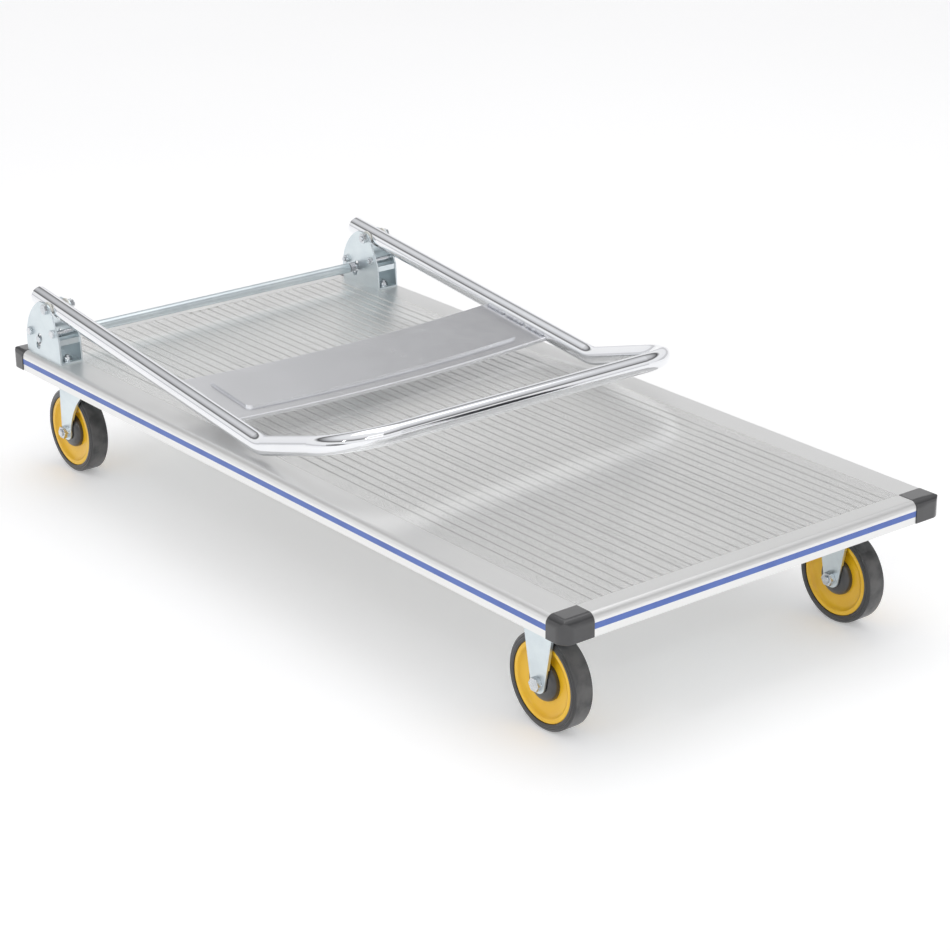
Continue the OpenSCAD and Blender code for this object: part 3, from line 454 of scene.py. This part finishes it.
tree, shader, place = start_finish("spring_steel", (0.62, 0.63, 0.66), (0.44, 0.45, 0.48), 90, 0.28, 0.12,
                                   metal=1)
add_bump(tree, shader, noise(tree, place, 1400, 2), 0.00004, 0.4)

tree, shader, place = start_finish("bearing_steel", (0.70, 0.71, 0.73), (0.58, 0.59, 0.61), 80, 0.20, 0.10,
                                   metal=1)
add_bump(tree, shader, noise(tree, place, 800, 2), 0.00003, 0.3)

tree, shader, place = start_finish("weld_steel", (0.66, 0.68, 0.71), (0.46, 0.47, 0.50), 160, 0.34, 0.22,
                                   metal=1)
add_bump(tree, shader, noise(tree, place, 500, 3), 0.0004, 0.6)
print("metals:", sorted(finishes))

# %% [markdown]
# ### Plastic, paint and rubber
#
# The corner caps and hub covers are moulded in dark grey and look glossy, the wheel
# bodies are yellow plastic that lets a little light in, and the strip is a satin blue.
# On the tyre the tread is dulled by the floor while its shoulders stay glossy. The
# distance from the middle plane of each wheel separates the two.

# %% Plastics and rubber
def moulded(name, light, dark, roughness, coat, grain_scale, grain_depth, dusty=0.0, scale=25):
    tree, shader, place = start_finish(name, light, dark, scale, roughness, 0.10, dusty=dusty)
    shader.inputs["Coat Weight"].default_value = coat
    shader.inputs["Coat Roughness"].default_value = 0.07
    add_bump(tree, shader, grouped(tree, grain, place, Scale=grain_scale), grain_depth, 0.4)
    return tree, shader, place


moulded("cap_grey", (0.040, 0.040, 0.042), (0.030, 0.030, 0.032), 0.30, 0.75, 1200, 0.00002, dusty=0.02)
moulded("cover_grey", (0.042, 0.042, 0.044), (0.032, 0.032, 0.034), 0.30, 0.70, 1400, 0.00002, dusty=0.02)
moulded("wheel_yellow", (0.95, 0.56, 0.014), (0.92, 0.52, 0.011), 0.30, 0.35, 700, 0.00001)
moulded("strip_blue", (0.095, 0.175, 0.52), (0.080, 0.150, 0.47), 0.36, 0.15, 900, 0.00004)
moulded("bush_nylon", (0.78, 0.77, 0.72), (0.70, 0.69, 0.64), 0.42, 0.0, 900, 0.00005)
moulded("plug_black", (0.030, 0.030, 0.032), (0.022, 0.022, 0.024), 0.42, 0.1, 1100, 0.00002)
moulded("label_white", (0.83, 0.83, 0.81), (0.79, 0.79, 0.77), 0.48, 0.2, 300, 0.00004)

TREAD_HALF, TREAD_EDGE = 0.0150, 0.0006

tree, shader, place = moulded("tyre_rubber", (0.036, 0.036, 0.038), (0.028, 0.028, 0.030), 0.32, 0.45, 800,
                              0.00002)
beside = add_node(tree, "SeparateXYZ", {0: place}).outputs["Y"]
WHEEL_Y = (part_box("tyre_front_left")[0].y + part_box("tyre_front_left")[1].y) / 2
off_middle = calc(tree, "ABSOLUTE", calc(tree, "SUBTRACT", calc(tree, "ABSOLUTE", beside), WHEEL_Y))
tread = calc(tree, "SUBTRACT", 1, between(tree, off_middle, TREAD_HALF - TREAD_EDGE, TREAD_HALF + TREAD_EDGE))
scuffed = calc(tree, "MULTIPLY", tread, between(tree, noise(tree, place, 40, 5), 0.25, 0.7))
recolour(tree, shader, calc(tree, "MULTIPLY", scuffed, 0.5), (0.16, 0.155, 0.15))
smooth_rubber = shader.inputs["Roughness"].links[0].from_socket
duller = calc(tree, "ADD", smooth_rubber, calc(tree, "MULTIPLY", tread, 0.25))
tree.links.new(duller, shader.inputs["Roughness"])
print("finishes:", len(finishes))

# %% Floor and card finishes
tree, shader, place = start_finish("studio_floor", (0.90, 0.90, 0.90), (0.885, 0.885, 0.885), 0.6, 0.75, 0.05)
shader.inputs["Emission Color"].default_value = (1, 1, 1, 1)
shader.inputs["Emission Strength"].default_value = 0.26
floor.data.materials.append(finishes["studio_floor"])
start_finish("dark_card", (0.03, 0.03, 0.035), (0.025, 0.025, 0.03), 2, 0.9, 0.02)
for card in cards:
    card.data.materials.append(finishes["dark_card"])
print("stage finished")

# %% [markdown]
# ## Finishes on the solids
#
# Every solid names the slot that it takes its finish from, and the finishes carry the
# same names, so one loop covers them all.

# %% Put each finish in the solids' own slots
node_slot = {}
for name, solid in frame["nodes"].items():
    node_slot[name] = solid.material_slots[0].material.name
    solid.material_slots[0].material = finishes[node_slot[name]]
print("slots used:", sorted(set(node_slot.values())))

# %% [markdown]
# ## Softened copies
#
# No real edge is knife sharp. Sheet is sheared and tumbled, castings and mouldings have
# small radii, and each radius catches a thin highlight. A Bevel modifier could do it, but
# the loaded solids may not be changed, so each is copied. The copy's loose triangles are
# merged, its flat faces are joined, and then its sharp edges are bevelled. The copy
# replaces the solid and rides on the same body.

# %% Copy, merge and bevel a solid
def is_sharp(edge, angle):
    return len(edge.link_faces) == 2 and edge.calc_face_angle(0) > angle


def soften(node, width, segments=2, angle=28):
    """A bevelled copy of a CAD node, which replaces it."""
    solid = frame["nodes"][node]
    shape = bmesh.new()
    shape.from_mesh(solid.data)
    bmesh.ops.remove_doubles(shape, verts=shape.verts, dist=2e-6)
    bmesh.ops.dissolve_limit(shape, angle_limit=radians(0.6), verts=shape.verts, edges=shape.edges)
    sharp = [edge for edge in shape.edges if is_sharp(edge, radians(angle))]
    bmesh.ops.bevel(shape, geom=sharp, offset=width, offset_type="OFFSET", affect="EDGES", segments=segments,
                    profile=0.5, material=-1, clamp_overlap=True)
    mesh = bpy.data.meshes.new("soft_" + node)
    shape.to_mesh(mesh)
    shape.free()
    piece = link_object("soft_" + node, mesh)
    shade(piece, finishes[node_slot[node]])
    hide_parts(node)
    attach(piece, body_of(solid)[0])
    return piece


# %% Soften what has visible edges
SOFT_EDGES = {
    0.0007: ["deck_plank_left", "deck_plank_middle", "deck_plank_right"],
    0.0005: ["side_rail_left", "side_rail_right", "end_rail_front", "end_rail_rear",
             "hinge_bracket_left", "hinge_bracket_right", "front_fork_left", "front_fork_right",
             "rear_fork_left", "rear_fork_right", "cross_plate_front", "cross_plate_rear",
             "swivel_plate_left", "swivel_plate_right"],
    0.0009: ["corner_cap_front_left", "corner_cap_front_right", "corner_cap_rear_left",
             "corner_cap_rear_right"],
    0.0004: ["frame_screws", "caster_bolts", "caster_nuts", "bracket_bolts", "bracket_nuts", "pivot_bolts",
             "pivot_nuts", "stop_bolts", "front_axles", "rear_axle_left", "rear_axle_right", "kingpins",
             "release_bar", "release_pins", "pivot_bushes"],
}
for width, nodes in SOFT_EDGES.items():
    softened = [soften(node, width, segments=3 if width > 0.0005 else 2) for node in nodes]
    print(f"{width * 1000:.1f} mm:", {piece.name: len(piece.data.polygons) for piece in softened})

# %% [markdown]
# ## Tyres, wheel bodies and hub covers
#
# Everything on a wheel is turned: a tyre with a ring round each shoulder, a dished wheel
# body with a flat lip, and a domed cover over the hub. Each is half a profile of radius
# and distance from the middle of the wheel. The other half is its mirror image, and a
# full spin round the axle with use_merge closes the shape without a seam.

# %% Half profiles: radius and distance from the middle, in millimetres
TYRE = ((63.05, 15.5), (63.5, 17.1), (65.0, 17.8), (67.4, 18.0), (68.6, 17.6), (69.2, 16.9), (69.9, 16.9),
        (70.9, 17.2), (72.2, 16.8), (73.0, 16.1), (73.3, 15.3), (73.9, 15.2), (74.6, 14.8), (75.0, 14.0),
        (75.0, 6.0))
WHEEL = ((16.0, 15.8), (16.6, 16.4), (19.5, 16.4), (20.0, 15.9), (20.0, 8.2), (36.0, 8.2), (44.0, 8.6),
         (49.0, 9.4), (52.2, 11.0), (54.2, 13.4), (55.4, 15.4), (56.2, 16.1), (57.2, 16.4), (61.4, 16.4),
         (62.4, 16.0), (62.95, 15.2), (63.0, 6.0))
COVER = ((20.1, 8.3), (30.2, 8.3), (30.5, 8.8), (30.5, 11.0), (30.1, 13.2), (29.2, 15.3), (27.6, 17.3),
         (25.2, 18.9), (22.0, 20.0), (18.5, 20.5), (9.6, 20.5), (9.0, 20.0), (9.0, 16.6), (20.1, 16.6))
AROUND = 112


def closed_profiles(half, two_pieces):
    """One loop across the middle, or one loop on each side of it."""
    mirrored = [(radius, -out) for radius, out in reversed(half)]
    return [list(half), mirrored] if two_pieces else [list(half) + mirrored]


def turned(name, node, finish, half, two_pieces=False):
    """A shape spun round the axle of the wheel that the node belongs to, in its place."""
    low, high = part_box(node)
    middle = (low + high) / 2
    shape = bmesh.new()
    for loop in closed_profiles(half, two_pieces):
        points = [shape.verts.new((middle.x + radius / 1000, middle.y + out / 1000, middle.z))
                  for radius, out in loop]
        edges = [shape.edges.new((points[i - 1], points[i])) for i in range(len(points))]
        bmesh.ops.spin(shape, geom=points + edges, cent=middle, axis=(0, 1, 0), angle=2 * pi, steps=AROUND,
                       use_merge=True)
    bmesh.ops.remove_doubles(shape, verts=shape.verts, dist=1e-6)
    piece = mesh_object(name, shape)
    shade(piece, finishes[finish], 32)
    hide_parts(node)
    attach(piece, body_of(frame["nodes"][node])[0])
    return piece


# %% Turn the parts of all four wheels
for corner in ("front_left", "front_right", "rear_left", "rear_right"):
    parts = [turned("turned_tyre_" + corner, "tyre_" + corner, "tyre_rubber", TYRE),
             turned("turned_wheel_" + corner, "wheel_" + corner, "wheel_yellow", WHEEL),
             turned("turned_covers_" + corner, "covers_" + corner, "cover_grey", COVER, two_pieces=True)]
    print(corner, [len(part.data.polygons) for part in parts])

# %% [markdown]
# ## Pressed panel
#
# The panel between the legs is one thin sheet. Its free edges are folded down, it bows
# towards the deck in the middle, and a long field with rounded corners is pressed up out
# of it. The sheet starts flat: one face is inset, the inner face's corners are rounded
# and it is raised, and the rims are bevelled as a press tool rounds them. Only then is
# the sheet cut across into narrow strips and bowed, and last it gets its thickness.

# %% Panel sizes, along the legs and across the cart
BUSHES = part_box("pivot_bushes")
PIVOT = Vector(((BUSHES[0].x + BUSHES[1].x) / 2, 0, (BUSHES[0].z + BUSHES[1].z) / 2))
LEG_SLOPE = radians(6.5)
in_leg_frame = Matrix.Translation(PIVOT) @ Matrix.Rotation(LEG_SLOPE, 4, "Y")
PANEL_FROM, PANEL_LONG, PANEL_HALF, SHEET = 0.356, 0.171, 0.3248, 0.0015
FIELD_FROM, FIELD_LONG, FIELD_HALF, FIELD_CORNER = 0.385, 0.116, 0.281, 0.009
FIELD_RISE, WALL_RUN, PRESS_RADIUS, FOLD_RADIUS = 0.004, 0.0012, 0.0011, 0.0026
BOW, DROP, FLANGE, STRIPS = 0.010, 0.0015, 0.0065, 72
BOW_RADIUS = (PANEL_HALF ** 2 + BOW ** 2) / (2 * BOW)
print("pivot:", [round(c, 4) for c in PIVOT], "bow radius:", round(BOW_RADIUS, 2))


def bow_height(across):
    return BOW_RADIUS - DROP - BOW - sqrt(BOW_RADIUS ** 2 - across ** 2)


def round_over(shape, edges, radius, segments):
    return bmesh.ops.bevel(shape, geom=edges, offset=radius, offset_type="OFFSET", affect="EDGES",
                           segments=segments, profile=0.5, material=-1, clamp_overlap=True)


# %% Press, fold, cut and bow the sheet
def pressed_sheet():
    shape = bmesh.new()
    bmesh.ops.create_grid(shape, x_segments=1, y_segments=1, size=1)
    for vert in shape.verts:
        vert.co = (PANEL_FROM + (vert.co.x > 0) * PANEL_LONG, PANEL_HALF * (1 if vert.co.y > 0 else -1), 0)
    shape.faces.ensure_lookup_table()
    field = shape.faces[0]
    bmesh.ops.inset_individual(shape, faces=[field], thickness=0.02)
    middle = PANEL_FROM + PANEL_LONG / 2
    for vert in field.verts:
        vert.co.x = FIELD_FROM + (vert.co.x > middle) * FIELD_LONG
        vert.co.y = FIELD_HALF * (1 if vert.co.y > 0 else -1)
    bmesh.ops.bevel(shape, geom=field.verts[:], offset=FIELD_CORNER, offset_type="OFFSET", affect="VERTICES",
                    segments=6, profile=0.5, material=-1)
    field = max(shape.faces, key=lambda face: len(face.verts))
    foot = field.edges[:]
    risen = bmesh.ops.extrude_face_region(shape, geom=[field])["geom"]
    bmesh.ops.delete(shape, geom=[field], context="FACES_ONLY")
    top = [part for part in risen if isinstance(part, bmesh.types.BMVert)]
    for vert in top:
        vert.co.z += FIELD_RISE
        vert.co.x += WALL_RUN * (1 if vert.co.x < middle else -1)
        vert.co.y += WALL_RUN * (1 if vert.co.y < 0 else -1)
    crown = [part for part in risen if isinstance(part, bmesh.types.BMEdge)]
    round_over(shape, crown + foot, PRESS_RADIUS, 3)
    free = [edge for edge in shape.edges
            if edge.is_boundary and abs(edge.verts[0].co.y - edge.verts[1].co.y) > PANEL_HALF]
    lips = [part for part in bmesh.ops.extrude_edge_only(shape, edges=free)["geom"]
            if isinstance(part, bmesh.types.BMVert)]
    bmesh.ops.translate(shape, verts=lips, vec=(0, 0, -FLANGE))
    round_over(shape, free, FOLD_RADIUS, 5)
    for number in range(1, STRIPS):
        cut = (0, PANEL_HALF * (2 * number / STRIPS - 1), 0)
        bmesh.ops.bisect_plane(shape, geom=shape.verts[:] + shape.edges[:] + shape.faces[:], dist=1e-6,
                               plane_co=cut, plane_no=(0, 1, 0))
    for vert in shape.verts:
        vert.co.z += bow_height(vert.co.y)
    bmesh.ops.recalc_face_normals(shape, faces=shape.faces[:])
    if sum(face.normal.z * face.calc_area() for face in shape.faces) < 0:
        bmesh.ops.reverse_faces(shape, faces=shape.faces[:])
    bmesh.ops.solidify(shape, geom=shape.faces[:], thickness=SHEET)
    bmesh.ops.transform(shape, matrix=in_leg_frame, verts=shape.verts)
    return shape


panel = mesh_object("pressed_panel", pressed_sheet())
shade(panel, finishes["panel_chrome"])
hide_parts("handle_panel")
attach(panel, "handle")
print("panel:", len(panel.data.polygons), "faces, size", [round(side, 4) for side in panel.dimensions])

# %% [markdown]
# ## Return springs
#
# A closely wound spring on each pin lifts the foot bar again. The solid for it is a stack
# of rings. The real thing is one wire on a helix, so a small circle is spun round the pin
# while it also moves along it, and each cut end of the wire is closed with a flat cap.

# %% Wound springs
BAR = (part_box("release_bar")[0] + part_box("release_bar")[1]) / 2
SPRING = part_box("return_springs")
SPRING_IN, SPRING_OUT = 0.3019, SPRING[1].y
WIRE, COILS, STEPS = 0.0024, 5, 28
SPRING_RADIUS = (SPRING[1].z - SPRING[0].z) / 2 - WIRE / 2

coils = bmesh.new()
for side in (1, -1):
    ring = bmesh.ops.create_circle(coils, segments=10, radius=WIRE / 2, cap_ends=False)["verts"]
    start = Vector((BAR.x, side * (SPRING_IN + WIRE / 2), BAR.z + SPRING_RADIUS))
    upright = Matrix.Translation(start) @ Matrix.Rotation(pi / 2, 4, "Y")
    bmesh.ops.transform(coils, matrix=upright, verts=ring)
    edges = list({edge for vert in ring for edge in vert.link_edges})
    climb = (SPRING_OUT - SPRING_IN - WIRE) / (COILS * STEPS)
    bmesh.ops.spin(coils, geom=ring + edges, cent=(BAR.x, 0, BAR.z), axis=(0, 1, 0),
                   dvec=(0, side * climb, 0), angle=COILS * 2 * pi, steps=COILS * STEPS)
bmesh.ops.holes_fill(coils, edges=[edge for edge in coils.edges if edge.is_boundary], sides=0)
springs = mesh_object("wound_springs", coils)
shade(springs, finishes["spring_steel"], 60)
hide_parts("return_springs")
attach(springs, "release_bar")
print("springs:", len(springs.data.polygons), "faces, radius", round(SPRING_RADIUS, 4))

# %% [markdown]
# ## Weld beads
#
# The panel is welded to both legs. A hand-laid bead is a row of overlapping ripples, so
# a thin capped cone is stretched to the length of the joint, cut into many rings, and
# every ring is swelled a little in a steady rhythm.

# %% Beads beside the panel
def smooth_step(value):
    value = min(max(value, 0.0), 1.0)
    return value * value * (3 - 2 * value)


def add_bead(welds, start, end, radius, ripple, lean):
    """Adds a rippled rod that runs from start to end."""
    run = end - start
    rod = bmesh.new()
    bmesh.ops.create_cone(rod, cap_ends=True, cap_tris=True, segments=10, radius1=radius, radius2=radius,
                          depth=run.length)
    sides = [edge for edge in rod.edges
             if abs(edge.verts[0].co.z - edge.verts[1].co.z) > run.length / 2]
    bmesh.ops.subdivide_edges(rod, edges=sides, cuts=int(4 * run.length / ripple))
    for vert in rod.verts:
        beat = vert.co.z / ripple * 2 * pi
        swell = 1 + 0.16 * sin(beat) + 0.10 * sin(0.37 * beat + lean)
        swell *= 0.25 + 0.75 * smooth_step((run.length / 2 - abs(vert.co.z)) / 0.003)
        vert.co.x, vert.co.y = vert.co.x * swell, vert.co.y * swell
    toward = run.to_track_quat("Z", "Y").to_matrix().to_4x4()
    bmesh.ops.transform(rod, matrix=Matrix.Translation((start + end) / 2) @ toward, verts=rod.verts)
    spare = bpy.data.meshes.new("bead")
    rod.to_mesh(spare)
    rod.free()
    welds.from_mesh(spare)
    bpy.data.meshes.remove(spare)


BEADS, BEAD_START, BEAD_STEP, BEAD_LONG = 3, 0.008, 0.054, 0.047
BEAD_RADIUS, RIPPLE = 0.0027, 0.0036
BEAD_IN, BEAD_UP = 0.0008, 0.0002

welds = bmesh.new()
for side in (1, -1):
    for part in range(BEADS):
        first = PANEL_FROM + BEAD_START + part * BEAD_STEP
        ends = [Vector((x, side * (PANEL_HALF - BEAD_IN), BEAD_UP)) for x in (first, first + BEAD_LONG)]
        add_bead(welds, *ends, BEAD_RADIUS, RIPPLE, part + side)
bmesh.ops.transform(welds, matrix=in_leg_frame, verts=welds.verts)
panel_welds = mesh_object("panel_welds", welds)
shade(panel_welds, finishes["weld_steel"], 80)
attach(panel_welds, "handle")
print("welds:", len(panel_welds.data.polygons), "faces")

# %% [markdown]
# ## Plugs in the handle's tails
#
# The tails of the legs are cut straight, and a plastic plug keeps water and fingers out
# of each. A plug has a shallow dome, a thin collar that is set a little into the end of
# the tube's wall, and a stem in the bore. It is turned too, so a profile is spun round
# the leg. The dome stays within the circle that the rim of the tube sweeps as it folds.

# %% Turned plugs
PLUG_STEM, PLUG_SET, PLUG_STEPS = 0.0144, 0.0003, 48
TAIL_END = -0.060 + PLUG_SET
# Each pair is a radius and how far out of the tail the point lies.
PLUG = ((0.0, 0.0016), (0.006, 0.0015), (0.011, 0.0012), (0.0140, 0.0008), (0.0152, 0.0002),
        (0.0155, -0.0003), (PLUG_STEM, -0.0003), (PLUG_STEM - 0.0002, -0.012), (0.0125, -0.013),
        (0.0, -0.013))
LEG_Y = (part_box("hinge_bracket_left")[0].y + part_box("hinge_bracket_left")[1].y) / 2

plugs = bmesh.new()
for side in (1, -1):
    points = [plugs.verts.new((TAIL_END - out, side * LEG_Y + radius, 0)) for radius, out in PLUG]
    edges = [plugs.edges.new(pair) for pair in zip(points, points[1:])]
    bmesh.ops.spin(plugs, geom=points + edges, cent=(0, side * LEG_Y, 0), axis=(1, 0, 0),
                   angle=2 * pi, steps=PLUG_STEPS, use_merge=True)
bmesh.ops.remove_doubles(plugs, verts=plugs.verts, dist=1e-6)
bmesh.ops.transform(plugs, matrix=in_leg_frame, verts=plugs.verts)
tail_plugs = mesh_object("tail_plugs", plugs)
shade(tail_plugs, finishes["plug_black"])
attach(tail_plugs, "handle")
print("plugs:", len(tail_plugs.data.polygons), "faces, legs at", round(LEG_Y, 4))

# %% [markdown]
# ## Blank label
#
# A small pale sticker sits on the rear end rail. It is left blank. Even paper has a
# thickness and soft corners, so it is a thin slab with its upright edges rounded.

# %% Label on the rear rail
LABEL_FROM, LABEL_TO = (-0.7385, -0.031), (-0.7145, 0.035)
LABEL_THICK, LABEL_CORNER = 0.0003, 0.002
slab = bmesh.new()
bmesh.ops.create_cube(slab, size=1)
size = Matrix.Diagonal((LABEL_TO[0] - LABEL_FROM[0], LABEL_TO[1] - LABEL_FROM[1], LABEL_THICK, 1))
middle = Vector(((LABEL_FROM[0] + LABEL_TO[0]) / 2, (LABEL_FROM[1] + LABEL_TO[1]) / 2,
                 DECK_TOP + LABEL_THICK / 2))
bmesh.ops.transform(slab, matrix=Matrix.Translation(middle) @ size, verts=slab.verts)
upright = [edge for edge in slab.edges
           if abs(edge.verts[0].co.z - edge.verts[1].co.z) > LABEL_THICK / 2]
bmesh.ops.bevel(slab, geom=upright, offset=LABEL_CORNER, offset_type="OFFSET", affect="EDGES",
                segments=5, profile=0.5, material=-1)
label = mesh_object("blank_label", slab)
shade(label, finishes["label_white"])
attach(label, "deck")
print("label:", [round(c, 4) for c in middle])
